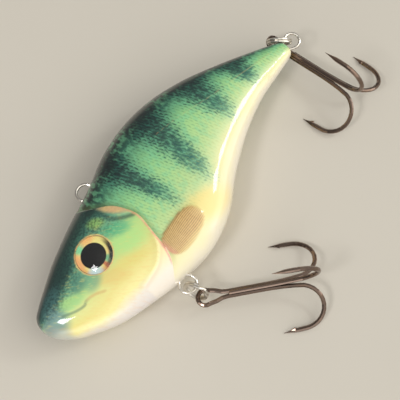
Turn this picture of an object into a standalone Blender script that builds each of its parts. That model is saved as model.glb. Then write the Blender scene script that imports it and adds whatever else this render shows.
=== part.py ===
"""Lipless hard-body swimbait: two moulded half shells with a photo finish, three wire
eyelets, three ballast balls, two loose rattle balls, two domed eyes, two split rings
and two brazed treble hooks.

The bait lies on its right flank, as it does on a bench. In the bait's own frame X runs
from the nose to the tail, Y from the belly to the back and Z through the flanks, with
the seam between the two halves at Z = 0. Sizes are in millimetres and are turned into
metres when an object is made.
"""

import math

import bmesh
import bpy
import numpy as np
from mathutils import Matrix, Vector

MM = 0.001

# ---- driving dimensions, in millimetres -------------------------------------------
# Where the bait's nose tip and seam plane lie in the part's frame.
BAIT_ORIGIN = (-56.1, 17.2, 9.0)

# Stations of the body from the nose to the tail: X, the back's Y, the belly's Y and
# the half thickness between them.
STATIONS = (
    (-0.9, -2.4, -2.4, 0.0),
    (-0.5, -0.2, -4.4, 2.3),
    (0.6, 1.6, -6.4, 3.7),
    (2.6, 2.9, -8.7, 4.7),
    (6.0, 4.6, -11.4, 5.5),
    (14.0, 8.3, -15.8, 6.7),
    (24.0, 11.7, -18.6, 7.7),
    (34.0, 14.4, -20.6, 8.7),
    (44.0, 17.9, -21.0, 9.3),
    (54.0, 19.4, -18.2, 9.2),
    (64.0, 18.6, -12.2, 8.1),
    (74.0, 15.7, -7.4, 6.5),
    (84.0, 11.1, -4.2, 4.9),
    (93.0, 6.3, -3.0, 3.4),
    (98.0, 3.4, -2.4, 2.6),
    (99.7, 2.1, -1.6, 1.8),
    (100.3, 0.3, 0.3, 0.0),
)
FLANK = 9.0  # the flanks are flattened at this distance from the seam
SEAM = 0.04  # gap between the two halves
WALL = 1.5
BACK_POWER, FLANK_POWER = 0.9, 0.76  # under 1 makes a section squarer than an ellipse
RIBS_PER_STATION, SECTION_STEPS = 2, 14
CAVITY = (5.0, 86.0)  # first and last X of the hollow
FUSE = 0.5  # how far an inner wall runs into the shell

# Gill cover: the head stands proud of the trunk, and ends at this edge, back to belly.
GILL_EDGE = (
    (27.5, 13.0),
    (30.6, 8.8),
    (34.4, 2.4),
    (37.0, -3.2),
    (36.4, -8.4),
    (33.9, -14.0),
    (30.5, -21.5),
)
GILL_X, GILL_SPREAD = 33.0, 14.0  # the rib that is bent to the gill's edge, and how far the bend fades
GILL_RISE, GILL_LIP = 0.45, 0.35
GILL_FADE = (10.0, 26.0)  # the rise grows between these stations
# Pectoral fin: a paddle from its root to its tip.
FIN_ROOT, FIN_TIP = (35.6, -14.2), (47.6, -14.6)
FIN_WIDTH, FIN_RISE, FIN_SEAT = 7.0, 0.4, 0.6

EYE_CENTRE = (22.3, -0.6)
EYE_RADIUS, EYE_DOME, EYE_EDGE = 5.0, 1.5, 0.4
IRIS_THICKNESS, EYE_GAP = 0.3, 0.05
EYE_SIDES = 24
SOCKET_CLEARANCE, SOCKET_DEPTH, SOCKET_FLOOR = 0.2, 1.2, 1.1
SOCKET_WALL, SOCKET_TOP, SOCKET_REACH = 1.0, -0.6, 4.0

# Wire eyelets: centre of the outer loop, outward direction, radius of the outer and of
# the inner loop, distance between the two loops' centres.
EYELET_WIRE = 0.4
EYELETS = {
    "line_tie": ((33.7, 15.2), (-0.30, 0.95), 2.45, 1.7, 5.6),
    "belly_eyelet": ((32.7, -22.4), (-0.12, -0.99), 2.35, 1.7, 5.9),
    "tail_eyelet": ((102.5, 0.3), (1.0, -0.08), 2.1, 1.3, 7.3),
}
STRAND_RISE = 0.43  # half the distance between the strands where they cross
GROOVE_CLEARANCE = 0.13
BOSS_MARGIN = 1.7

# Steel balls: centre and radius.
BALLAST = {
    "front_ballast_ball": (21.7, -10.6, 4.6),
    "middle_ballast_ball": (42.4, -14.0, 5.0),
    "rear_ballast_ball": (53.2, -10.6, 4.0),
}
RATTLES = {"lower_rattle_ball": (61.5, 4.0, 2.5), "upper_rattle_ball": (61.5, 11.0, 2.5)}
PLATE = 1.0
BULKHEADS = (8.5, 16.4, 27.0, 36.8, 48.1, 58.2, 73.0)
# Shelves between bulkheads: first X, last X, height.
SHELVES = (
    (16.4, 27.0, -5.2),
    (36.8, 48.1, -8.3),
    (48.1, 58.2, -5.8),
    (58.2, 73.0, 0.5),
    (58.2, 73.0, 7.5),
    (58.2, 73.0, 14.5),
)
PINS = ((12.4, -3.0), (66.0, -5.0), (78.5, 5.0))
PIN_RADIUS, PIN_LENGTH, PIN_BOSS = 0.9, 1.2, 2.1
PIN_CLEARANCE = 0.15
PIN_HOLE_SPARE = 0.4  # the hole is this much deeper than its pin

# Where the solids that are cut together start under the seam. No two of these planes
# meet, and one last cut brings both halves back to the seam.
OUTER_BASE, WALL_BASE, KEEP_BASE, HOLLOW_BASE = -1.0, -0.7, -0.5, -2.0
WALL_TOP, WALL_REACH, WALL_STEP = 12.0, 25.0, 0.02
TRIM = ((-10.0, -40.0, SEAM / 2), (120.0, 40.0, 30.0))

# Split rings: two flat turns of wire with a jog between them.
RING_RADIUS, RING_RADIAL, RING_AXIAL, RING_PITCH = 3.1, 0.8, 0.64, 0.7
RING_BEVEL, RING_SLACK = 0.16, 0.45  # the slack is the play between a ring and its eyelet
RING_END, RING_BREAK, RING_JOG = 22.0, 18.0, 15.0  # degrees from the cut to where each starts

# Treble hooks: a double hook bent from one wire, with its eye, and a single hook
# brazed to it.
HOOK_WIRE = 0.6
HOOK_LENGTH, HOOK_REACH, HOOK_BEND = 33.0, 13.2, 6.0
HOOK_POINT, POINT_TAPER, POINT_LEAN = 5.6, 3.6, 3.0
BARB_BACK, BARB_HEIGHT = 3.1, 0.55  # the barb's place behind the point's tip, and its height
STRAND_GAP = 0.05
TREBLE_ANGLE = 120.0
BEND_END, BEND_FALL = -72.0, 11.0  # where the bend's arc stops, and how far its wire then runs to the shank
EYE_LOOP, EYE_TAIL = 2.0, 8.6  # radius of the hook's eye, and where its strands meet
EYE_NECK = ((0.0, 0.0), (1.6, 0.18), (3.2, 0.75))  # the strands' way from there to the eye, and apart

# How the rings and hooks lie at rest. A ring's grip is its angle round the eyelet, its
# upward direction lies in its plane, its swing turns its centre away from the eyelet
# and its hold is where the hook's eye sits on it. All angles are in degrees.
BELLY_RING = {"grip": -75.0, "upward": (0.30, 0.0, 0.95), "swing": 0.0, "hold": 15.0, "cut": 60.0}
TAIL_RING = {"grip": 130.0, "upward": (-0.16, -0.25, 0.95), "swing": 48.0, "hold": 65.0, "cut": 150.0}
BELLY_HOOK = {"heading": -40.0, "pitch": 2.0, "roll": 0.0, "hold": 2.9}
TAIL_HOOK = {"heading": -88.0, "pitch": 5.45, "roll": 120.0, "hold": 2.6}

PAINT = (0.18, 0.45, 0.24)
STEEL = (0.72, 0.71, 0.68)
BLACK_NICKEL = (0.10, 0.085, 0.075)
GOLD_FOIL = (0.80, 0.58, 0.22)
CLEAR = (0.90, 0.93, 0.92)


# ---- small helpers ---------------------------------------------------------------
def clear_scene():
    for obj in list(bpy.data.objects):
        bpy.data.objects.remove(obj, do_unlink=True)


def material(name, colour, roughness, metallic):
    made = bpy.data.materials.new(name)
    made.use_nodes = True
    shader = made.node_tree.nodes["Principled BSDF"]
    shader.inputs["Base Color"].default_value = (*colour, 1.0)
    shader.inputs["Roughness"].default_value = roughness
    shader.inputs["Metallic"].default_value = metallic
    return made


def through(points, steps):
    """A smooth curve through the points, with this many steps between each two."""
    points = np.array(points, float)
    first = 2 * points[0] - points[1]
    last = 2 * points[-1] - points[-2]
    knots = np.vstack([first, points, last])
    curve = []
    for i in range(len(points) - 1):
        a, b, c, d = knots[i : i + 4]
        for t in np.arange(steps) / steps:
            square = 2 * a - 5 * b + 4 * c - d
            cube = 3 * b - a - 3 * c + d
            curve.append(0.5 * (2 * b + (c - a) * t + square * t**2 + cube * t**3))
    curve.append(points[-1])
    return np.array(curve)


def mesh_of(vertices, faces):
    """A closed solid from its faces, with doubled points merged."""
    mesh = bpy.data.meshes.new("solid")
    mesh.from_pydata([tuple(v) for v in vertices], [], faces)
    tidy = bmesh.new()
    tidy.from_mesh(mesh)
    bmesh.ops.remove_doubles(tidy, verts=tidy.verts, dist=1e-4)
    bmesh.ops.triangulate(tidy, faces=tidy.faces)
    bmesh.ops.recalc_face_normals(tidy, faces=tidy.faces)
    tidy.to_mesh(mesh)
    tidy.free()
    return mesh


def boolean(mesh, other, operation):
    """The mesh joined with, cut by or kept inside the other, by Blender's exact solver."""
    target = bpy.data.objects.new("target", mesh)
    tool = bpy.data.objects.new("tool", other)
    for obj in (target, tool):
        bpy.context.scene.collection.objects.link(obj)
    cut = target.modifiers.new("boolean", "BOOLEAN")
    cut.operation = operation
    cut.solver = "EXACT"
    cut.object = tool
    graph = bpy.context.evaluated_depsgraph_get()
    made = bpy.data.meshes.new_from_object(target.evaluated_get(graph))
    for obj in (target, tool):
        bpy.data.objects.remove(obj, do_unlink=True)
    return made


def mirrored(mesh):
    """The same solid on the other side of the seam."""
    made = mesh.copy()
    made.transform(Matrix.Diagonal((1, 1, -1, 1)))
    made.flip_normals()
    return made


def moved(mesh, matrix):
    made = mesh.copy()
    made.transform(matrix)
    return made


def frame_on(centre, axis):
    """A matrix that carries +Z to the axis and the origin to the centre."""
    turn = Vector((0, 0, 1)).rotation_difference(Vector(axis)).to_matrix().to_4x4()
    return Matrix.Translation(Vector(centre)) @ turn


def circle(radius, sides):
    turns = [2 * math.pi * k / sides for k in range(sides)]
    return [(radius * math.cos(turn), radius * math.sin(turn)) for turn in turns]


def loft(rings, closed=False, capped=True):
    """A solid through rings of points. It is closed on itself or capped at both ends."""
    count, width = len(rings), len(rings[0])
    faces = []
    for i in range(count if closed else count - 1):
        j = (i + 1) % count
        for k in range(width):
            m = (k + 1) % width
            faces.append((i * width + k, i * width + m, j * width + m, j * width + k))
    if capped and not closed:
        faces += [tuple(range(width)), tuple((count - 1) * width + k for k in range(width))]
    return mesh_of([point for ring in rings for point in ring], faces)


def turned(profile, sides):
    """A solid of revolution about Z from (radius, height) points that start and end on the axis."""
    rings = [[(*point, height) for point in circle(radius, sides)] for radius, height in profile]
    return loft(rings, capped=False)


def cylinder(centre, radius, low, high, sides=16):
    solid = turned(((0, low), (radius, low), (radius, high), (0, high)), sides)
    return moved(solid, Matrix.Translation((*centre, 0)))


def ball(radius, rings=7, sides=12):
    profile = []
    for i in range(rings + 1):
        angle = math.pi * i / rings
        profile.append((radius * math.sin(angle), -radius * math.cos(angle)))
    return turned(profile, sides)


def prism(outline, low, high):
    count = len(outline)
    vertices = [(x, y, low) for x, y in outline] + [(x, y, high) for x, y in outline]
    faces = [tuple(range(count)), tuple(range(count, 2 * count))]
    faces += [(i, (i + 1) % count, count + (i + 1) % count, count + i) for i in range(count)]
    return mesh_of(vertices, faces)


def rectangle(first, last, low, high):
    return (first, low), (last, low), (last, high), (first, high)


def sweep(path, sections, frames, closed=False):
    """A solid along the path. A section is offsets along each frame's two side directions."""
    rings = []
    for point, section, (right, up) in zip(path, sections, frames):
        rings.append([tuple(point + u * right + v * up) for u, v in section])
    return loft(rings, closed)


def carried_frames(path):
    """Side directions carried along the path without twist."""
    tangents = np.gradient(path, axis=0)
    tangents /= np.linalg.norm(tangents, axis=1)[:, None]
    side = np.cross(tangents[0], (0.3, 0.5, 0.8))
    frames = []
    for tangent in tangents:
        side = side - (side @ tangent) * tangent
        side /= np.linalg.norm(side)
        frames.append((side, np.cross(tangent, side)))
    return frames


# ---- the body's surface ------------------------------------------------------------
def body_rows():
    """X, back, belly and half thickness at every rib."""
    return through(STATIONS, RIBS_PER_STATION)


def outline_at(x):
    rows = body_rows()
    return [float(np.interp(x, rows[:, 0], rows[:, i])) for i in (1, 2, 3)]


def flank_point(x, angle, inset=0.0, rise=0.0):
    """A point of the left flank: angle 0 is on the back, pi is on the belly."""
    back, belly, half = outline_at(x)
    c, s = math.cos(angle), max(math.sin(angle), 0.0)
    height = max((back - belly) / 2 - inset, 0.0)
    y = (back + belly) / 2 + height * math.copysign(abs(c) ** BACK_POWER, c)
    z = max(half - inset, 0.0) * s**FLANK_POWER + rise * s
    return (x, y, min(z, FLANK - inset))


def height_at(x, y):
    """How far the plain left flank stands off the seam over a point."""
    back, belly, half = outline_at(x)
    share = min(abs((y - (back + belly) / 2) / ((back - belly) / 2)), 1.0)
    sine = math.sqrt(1 - share ** (2 / BACK_POWER))
    return min(half * sine**FLANK_POWER, FLANK)


def normal_at(x, y, step=1.5):
    slope_x = (height_at(x + step, y) - height_at(x - step, y)) / (2 * step)
    slope_y = (height_at(x, y + step) - height_at(x, y - step)) / (2 * step)
    return Vector((-slope_x, -slope_y, 1.0)).normalized()


def plain_ribs(inset, span, angles):
    xs = [x for x in body_rows()[:, 0] if span[0] <= x <= span[1]]
    return [[flank_point(x, angle, inset) for angle in angles] for x in xs]


def headed_ribs(angles):
    """The outer ribs, bent near the gill cover so that one pair of ribs follows its edge."""
    edge = through(GILL_EDGE, 4)[::-1]
    heights = [flank_point(GILL_X, angle)[1] for angle in angles]
    bends = np.interp(heights, edge[:, 1], edge[:, 0]) - GILL_X
    plan = []
    for x in body_rows()[:, 0]:
        fade = min(max((x - GILL_FADE[0]) / (GILL_FADE[1] - GILL_FADE[0]), 0.0), 1.0)
        if abs(x - GILL_X) > 1.0:
            plan.append((x, GILL_RISE * fade if x < GILL_X else 0.0))
    plan += [(GILL_X, GILL_RISE), (GILL_X + GILL_LIP, 0.0)]
    ribs = []
    for x, rise in sorted(plan):
        weight = max(0.0, 1 - abs(x - GILL_X) / GILL_SPREAD)
        places = x + weight * bends
        ribs.append([flank_point(place, angle, 0.0, rise) for place, angle in zip(places, angles)])
    return ribs


def half_body(base, inset=None, span=CAVITY):
    """The left half as a solid down to the base: the outer form, or one shrunk by the inset."""
    angles = np.linspace(0, math.pi, SECTION_STEPS + 1)
    ribs = headed_ribs(angles) if inset is None else plain_ribs(inset, span, angles)
    return loft([[(*rib[0][:2], base)] + rib + [(*rib[-1][:2], base)] for rib in ribs])


# ---- wire eyelets ----------------------------------------------------------------
def groove(spec):
    """The channel for an eyelet, as two open sweeps that each stay clear of themselves."""
    path = eyelet_path(*spec)
    count = len(path)
    ring = np.vstack([path, path[:2]])
    section = circle(EYELET_WIRE + GROOVE_CLEARANCE, 6)
    channels = []
    for part in (ring[: count // 2 + 1], ring[count // 2 - 1 :]):
        channels.append(sweep(part, [section] * len(part), flat_frames(part)))
    return channels


def eyelet_path(centre, outward, outer, inner, between, arc_steps=11, line_steps=2):
    """A figure of eight: round the inner loop, across, round the outer loop and back."""
    out = np.array(outward) / np.linalg.norm(outward)
    side = np.array((-out[1], out[0]))
    centre = np.array(centre)
    inner_centre = centre - out * between
    touch = math.acos((outer + inner) / between)

    def place(middle, radius, angle, z):
        flat = middle + radius * (math.cos(angle) * out + math.sin(angle) * side)
        return np.array((flat[0], flat[1], z))

    path = []
    for t in np.linspace(0, 1, arc_steps):
        angle = touch + t * (2 * math.pi - 2 * touch)
        path.append(place(inner_centre, inner, angle, STRAND_RISE * (2 * t - 1)))
    across = place(centre, outer, math.pi - touch, STRAND_RISE)
    path += [path[-1] + (across - path[-1]) * k / line_steps for k in range(1, line_steps)]
    for t in np.linspace(0, 1, arc_steps + 3):
        angle = (math.pi - touch) * (1 - 2 * t)
        path.append(place(centre, outer, angle, STRAND_RISE * (1 - 2 * t)))
    path += [path[-1] + (path[0] - path[-1]) * k / line_steps for k in range(1, line_steps)]
    return np.array(path)


def flat_frames(path, closed=False):
    """Side directions for a wire that lies nearly flat in the seam."""
    if closed:
        tangents = np.roll(path, -1, axis=0) - np.roll(path, 1, axis=0)
    else:
        tangents = np.gradient(path, axis=0)
    frames = []
    for tangent in tangents / np.linalg.norm(tangents, axis=1)[:, None]:
        right = np.cross((0, 0, 1.0), tangent)
        right /= np.linalg.norm(right)
        frames.append((right, np.cross(tangent, right)))
    return frames


def wire_loop(path, radius, sides=8):
    return sweep(path, [circle(radius, sides)] * len(path), flat_frames(path, True), closed=True)


def boss_outline(centre, outward, outer, inner, between):
    """The block that holds an eyelet: round behind its inner loop, open to the body's wall."""
    out = np.array(outward) / np.linalg.norm(outward)
    side = np.array((-out[1], out[0]))
    inner_centre = np.array(centre) - out * between
    radius = inner + BOSS_MARGIN
    outline = []
    for turn in np.linspace(math.pi / 2, 1.5 * math.pi, 9):
        outline.append(inner_centre + radius * (math.cos(turn) * out + math.sin(turn) * side))
    outline += [np.array(centre) - side * radius, np.array(centre) + side * radius]
    return [tuple(p) for p in outline]


# ---- the two half shells ---------------------------------------------------------
def fin_outline(share_out, steps=16):
    """Points round the pectoral fin, drawn in towards its middle by the share."""
    root, tip = np.array(FIN_ROOT), np.array(FIN_TIP)
    along = tip - root
    across = np.array((-along[1], along[0])) / np.linalg.norm(along)
    middle = root + along * 0.55
    outline = []
    for t in np.linspace(0, 2 * math.pi, steps, endpoint=False):
        share = 0.5 - 0.5 * math.cos(t)
        edge = root + along * share + across * math.sin(t) * FIN_WIDTH / 2 * (0.85 + 0.3 * share)
        outline.append(middle + (edge - middle) * share_out)
    return outline


def fin_plate():
    """The pectoral fin as a plate that follows the flank, seated in the shell's wall."""
    under = [(0.05, -FIN_SEAT), (0.6, -FIN_SEAT), (1.0, -FIN_SEAT)]
    over = [(1.0, FIN_RISE * 0.6), (0.93, FIN_RISE), (0.5, FIN_RISE), (0.05, FIN_RISE)]
    rings = []
    for share_out, rise in under + over:
        rings.append([(x, y, height_at(x, y) + rise) for x, y in fin_outline(share_out)])
    return loft(rings)


def wall_span(number):
    """Lowest and highest Z of an inner wall. Each reaches a little further than the last."""
    return WALL_BASE - WALL_STEP * number, WALL_TOP + WALL_STEP * number


def inner_walls():
    """Bulkheads, shelves, eyelet bosses and pin bosses, trimmed to run just into the shell's wall."""
    outlines = [rectangle(x - PLATE / 2, x + PLATE / 2, -WALL_REACH, WALL_REACH) for x in BULKHEADS]
    outlines += [rectangle(first, last, y - PLATE / 2, y + PLATE / 2) for first, last, y in SHELVES]
    outlines += [boss_outline(*EYELETS[name]) for name in ("line_tie", "belly_eyelet")]
    solids = [prism(outline, *wall_span(number)) for number, outline in enumerate(outlines)]
    for place in PINS:
        solids.append(cylinder(place, PIN_BOSS, *wall_span(len(solids))))
    walls = solids[0]
    for solid in solids[1:]:
        walls = boolean(walls, solid, "UNION")
    keep = half_body(KEEP_BASE, WALL - FUSE, (CAVITY[0] - 1.0, CAVITY[1] + 1.0))
    return boolean(walls, keep, "INTERSECT")


def eye_frame():
    return frame_on((*EYE_CENTRE, height_at(*EYE_CENTRE)), normal_at(*EYE_CENTRE))


def disc(radius, low, high):
    """A round plate in the eye's frame."""
    return moved(turned(((0, low), (radius, low), (radius, high), (0, high)), EYE_SIDES), eye_frame())


def plain_half():
    """What the two halves share, built as the left one."""
    shell = boolean(half_body(OUTER_BASE), half_body(HOLLOW_BASE, WALL), "DIFFERENCE")
    shell = boolean(shell, fin_plate(), "UNION")
    shell = boolean(shell, inner_walls(), "UNION")
    wide = EYE_RADIUS + SOCKET_CLEARANCE
    cup = disc(wide + SOCKET_WALL, -SOCKET_DEPTH - SOCKET_FLOOR, SOCKET_TOP)
    shell = boolean(shell, cup, "UNION")
    shell = boolean(shell, disc(wide, -SOCKET_DEPTH, SOCKET_REACH), "DIFFERENCE")
    low, high = TRIM
    trim = prism(rectangle(low[0], high[0], low[1], high[1]), low[2], high[2])
    return boolean(shell, trim, "INTERSECT")


def half_shells():
    """The left half with its pin holes and the right half with its pins, both grooved for the eyelets."""
    left = plain_half()
    right = mirrored(left)
    for place in PINS:
        hole = cylinder(place, PIN_RADIUS + PIN_CLEARANCE, -1, PIN_LENGTH + PIN_HOLE_SPARE)
        left = boolean(left, hole, "DIFFERENCE")
        right = boolean(right, cylinder(place, PIN_RADIUS, -2, PIN_LENGTH), "UNION")
    for spec in EYELETS.values():
        for channel in groove(spec):
            left = boolean(left, channel, "DIFFERENCE")
            right = boolean(right, channel, "DIFFERENCE")
    return left, right


# ---- eyes ------------------------------------------------------------------------
def eye_dome():
    """Clear dome with a short straight edge, seated on the iris."""
    seat = -SOCKET_DEPTH + 2 * EYE_GAP + IRIS_THICKNESS
    edge = seat + EYE_EDGE
    profile = [(0, seat), (EYE_RADIUS, seat)]
    for angle in np.linspace(0, math.pi / 2, 5):
        profile.append((EYE_RADIUS * math.cos(angle), edge + EYE_DOME * math.sin(angle)))
    return moved(turned(profile, EYE_SIDES), eye_frame())


def iris_disc():
    low = -SOCKET_DEPTH + EYE_GAP
    return disc(EYE_RADIUS, low, low + IRIS_THICKNESS)


# ---- split rings -----------------------------------------------------------------
def split_ring(centre, radial, upward, cut):
    """Two flat turns joined by a jog. The ring lies in the plane of the two directions given."""
    axis = np.cross(radial, upward)
    r, a = RING_RADIAL / 2, RING_AXIAL / 2
    b = RING_BEVEL
    lower = [(-r, -a + b), (-r + b, -a), (r - b, -a), (r, -a + b)]
    section = lower + [(-u, -v) for u, v in lower]
    first_turn = np.linspace(RING_END, 360 - RING_BREAK, 16)
    jog = (349, 360, 371)
    path, frames = [], []
    for angle in (*first_turn, *jog, *(720 - first_turn[::-1])):
        share = min(max((angle - 360 + RING_JOG) / (2 * RING_JOG), 0.0), 1.0)
        level = RING_PITCH * (share * share * (3 - 2 * share) - 0.5)
        turn = math.radians(angle + cut)
        out = math.cos(turn) * radial + math.sin(turn) * upward
        path.append(centre + RING_RADIUS * out + level * axis)
        frames.append((out, axis))
    return sweep(path, [section] * len(path), frames)


def ring_place(eyelet, lay):
    """Grip, centre, radial and upward directions of a ring and the point where its hook hangs."""
    centre, _, loop, _, _ = EYELETS[eyelet]
    turn = math.radians(lay["grip"])
    radial = np.array((math.cos(turn), math.sin(turn), 0.0))
    grip = np.array((*centre, 0.0)) + loop * radial
    upward = np.array(lay["upward"]) - (np.array(lay["upward"]) @ radial) * radial
    upward /= np.linalg.norm(upward)
    hang = RING_RADIUS - RING_RADIAL / 2 - EYELET_WIRE - RING_SLACK
    swing, hold = math.radians(lay["swing"]), math.radians(lay["hold"])
    middle = grip + hang * (math.sin(swing) * radial - math.cos(swing) * upward)
    held = middle + RING_RADIUS * (math.cos(hold) * radial - math.sin(hold) * upward)
    return grip, middle, radial, upward, held


# ---- treble hooks ----------------------------------------------------------------
STRAND_RADIUS = (2 * HOOK_WIRE + STRAND_GAP) / math.sqrt(3)


def hook_curve():
    """One hook in its own plane, from its point to the straight shank, as (along, out, point share)."""
    bend_x = HOOK_LENGTH - HOOK_WIRE - HOOK_BEND
    bend_out = HOOK_REACH - HOOK_BEND
    lean = math.radians(POINT_LEAN)
    rows = []
    start = np.array((bend_x, HOOK_REACH))
    for behind_tip in (0.0, 0.9, 1.9, BARB_BACK, BARB_BACK + 0.2, 4.4):
        back = HOOK_POINT - behind_tip
        rows.append((start[0] - back * math.cos(lean), start[1] + back * math.sin(lean), back / HOOK_POINT))
    for angle in np.linspace(90, BEND_END, 14):
        turn = math.radians(angle)
        rows.append((bend_x + HOOK_BEND * math.cos(turn), bend_out + HOOK_BEND * math.sin(turn), 0.0))
    low = rows[-1][1] - STRAND_RADIUS
    leave = rows[-1][0]
    for t in (0.25, 0.5, 0.75, 1.0):
        rows.append((leave - t * BEND_FALL, STRAND_RADIUS + low * (1 - t) ** 2.6, 0.0))
    return rows


def hook_wire_section(point_share, inward, frame, sides=8):
    """The wire's round, thinning to the point, with the barb standing on its inner side."""
    back = point_share * HOOK_POINT
    taper = min(1.0, (HOOK_POINT - back) / POINT_TAPER) if back > 0 else 1.0
    radius = HOOK_WIRE * max(taper, 0.08)
    barb = BARB_HEIGHT if abs(back - (HOOK_POINT - BARB_BACK)) < 0.05 else 0.0
    section = []
    for u, v in circle(1.0, sides):
        facing = max(0.0, float((u * frame[0] + v * frame[1]) @ inward))
        grown = radius + barb * facing**8
        section.append((u * grown, v * grown))
    return section


def out_direction(angle):
    """A hook's direction across the shank: 0 is up and positive angles go to the left."""
    turn = math.radians(angle)
    return np.array((0.0, math.sin(turn), math.cos(turn)))


def swept_hook(path, shares, outs):
    frames = carried_frames(np.array(path))
    sections = []
    for share, out, frame in zip(shares, outs, frames):
        sections.append(hook_wire_section(share, -out, frame))
    return sweep(path, sections, frames)


def hook_points(angle):
    """Path, point shares and outward directions of a hook at an angle round the shank."""
    out = out_direction(angle)
    rows = hook_curve()
    path = [np.array((along, 0, 0)) + out * reach for along, reach, _ in rows]
    return path, [share for _, _, share in rows], [out] * len(rows)


def double_hook():
    """One wire: a point, a bend, up the shank, round the eye and back to the other point."""
    first, shares, outs_a = hook_points(TREBLE_ANGLE)
    second, _, outs_b = hook_points(-TREBLE_ANGLE)
    strand_a, strand_b = first[-1][1:], second[-1][1:]
    middle = (strand_a + strand_b) / 2
    across = (strand_a - strand_b) / np.linalg.norm(strand_a - strand_b)
    half = np.linalg.norm(strand_a - strand_b) / 2
    eye_x = EYE_LOOP + HOOK_WIRE
    side = [(EYE_TAIL - back, half + apart) for back, apart in EYE_NECK]
    for angle in (62, 84, 106, 128, 150):
        turn = math.radians(angle)
        side.append((eye_x + EYE_LOOP * math.cos(turn), EYE_LOOP * math.sin(turn)))
    top = math.radians(10)
    flat = side + [(eye_x - EYE_LOOP * math.cos(top), EYE_LOOP * math.sin(top))]
    flat += [(x, -q) for x, q in reversed(flat)]
    eye = [np.array((x, *(middle + q * across))) for x, q in flat]
    path = first + eye + second[::-1]
    point_shares = shares + [0.0] * len(eye) + shares[::-1]
    outs = outs_a + [outs_a[0]] * len(eye) + outs_b[::-1]
    return swept_hook(path, point_shares, outs)


def single_hook():
    points, shares, outs = hook_points(0.0)
    end = np.array((EYE_TAIL + 0.4, *points[-1][1:]))
    return swept_hook(points + [end], shares + [0.0], outs + [outs[0]])


def hook_lie(lay, held):
    """Carries a hook from its own frame to where its eye is held."""
    heading = Matrix.Rotation(math.radians(lay["heading"]), 4, "Z")
    pitch = Matrix.Rotation(math.radians(-lay["pitch"]), 4, "Y")
    roll = Matrix.Rotation(math.radians(-lay["roll"]), 4, "X")
    to_eye = Matrix.Translation((-lay["hold"], 0, 0))
    return Matrix.Translation(Vector(held)) @ heading @ pitch @ roll @ to_eye


# ---- assembly --------------------------------------------------------------------
def joint_empty(name, place, parent):
    made = bpy.data.objects.new(name, None)
    bpy.context.scene.collection.objects.link(made)
    made["bait_place"] = tuple(place)
    made.parent = parent
    made.location = (Vector(place) - Vector(parent["bait_place"])) * MM
    return made


def add(name, mesh, surface, parent, origin=(0, 0, 0)):
    """Makes a named object from a solid in the bait's frame, with its origin at the place given."""
    mesh = moved(mesh, Matrix.Scale(MM, 4) @ Matrix.Translation(-Vector(origin)))
    mesh.name = name
    mesh.materials.clear()
    mesh.materials.append(surface)
    mesh.shade_smooth()
    mesh.set_sharp_from_angle(angle=math.radians(35))
    made = bpy.data.objects.new(name, mesh)
    bpy.context.scene.collection.objects.link(made)
    made.parent = parent
    made.location = (Vector(origin) - Vector(parent["bait_place"])) * MM


def add_hook_set(name, bait, ring_lay, hook_lay, steel, nickel):
    """A split ring on its eyelet and the treble hook on the ring."""
    grip, middle, radial, upward, held = ring_place(f"{name}_eyelet", ring_lay)
    ring_joint = joint_empty(f"{name}_ring_joint", grip, bait)
    add(f"{name}_split_ring", split_ring(middle, radial, upward, ring_lay["cut"]), steel, ring_joint, grip)
    hook_joint = joint_empty(f"{name}_hook_joint", held, ring_joint)
    pose = hook_lie(hook_lay, held)
    add(f"{name}_double_hook", moved(double_hook(), pose), nickel, hook_joint, held)
    add(f"{name}_single_hook", moved(single_hook(), pose), nickel, hook_joint, held)


def main():
    clear_scene()
    paint = material("photo_finish", PAINT, 0.18, 0.0)
    steel = material("stainless_wire", STEEL, 0.25, 1.0)
    shot = material("ballast_steel", STEEL, 0.4, 1.0)
    nickel = material("black_nickel", BLACK_NICKEL, 0.22, 1.0)
    foil = material("gold_foil", GOLD_FOIL, 0.3, 0.8)
    clear = material("clear_resin", CLEAR, 0.05, 0.0)

    bait = bpy.data.objects.new("bait", None)
    bpy.context.scene.collection.objects.link(bait)
    bait["bait_place"] = (0.0, 0.0, 0.0)
    bait.location = Vector(BAIT_ORIGIN) * MM

    left, right = half_shells()
    add("left_body_shell", left, paint, bait)
    add("right_body_shell", right, paint, bait)
    for name, solid, surface in (("eye_dome", eye_dome(), clear), ("iris_disc", iris_disc(), foil)):
        add(f"left_{name}", solid, surface, bait)
        add(f"right_{name}", mirrored(solid), surface, bait)
    for name, spec in EYELETS.items():
        add(name, wire_loop(eyelet_path(*spec), EYELET_WIRE), steel, bait)
    for name, (x, y, radius) in (BALLAST | RATTLES).items():
        add(name, moved(ball(radius), Matrix.Translation((x, y, 0))), shot, bait, (x, y, 0))
    add_hook_set("belly", bait, BELLY_RING, BELLY_HOOK, steel, nickel)
    add_hook_set("tail", bait, TAIL_RING, TAIL_HOOK, steel, nickel)


main()
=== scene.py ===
"""Studio scene for the hard-body swimbait.

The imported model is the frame. Painted halves replace the two plain half shells, and
dished foil irises and domed lenses replace the eyes' discs and domes. The wires, rings,
hooks and balls stay and get finished materials. The bait's own frame is in millimetres:
X from the nose to the tail, Y from the belly to the back and Z through the flanks, with
the seam at Z = 0.
"""
import math

import bmesh
import bpy
import numpy as np
from mathutils import Matrix, Vector


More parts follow.
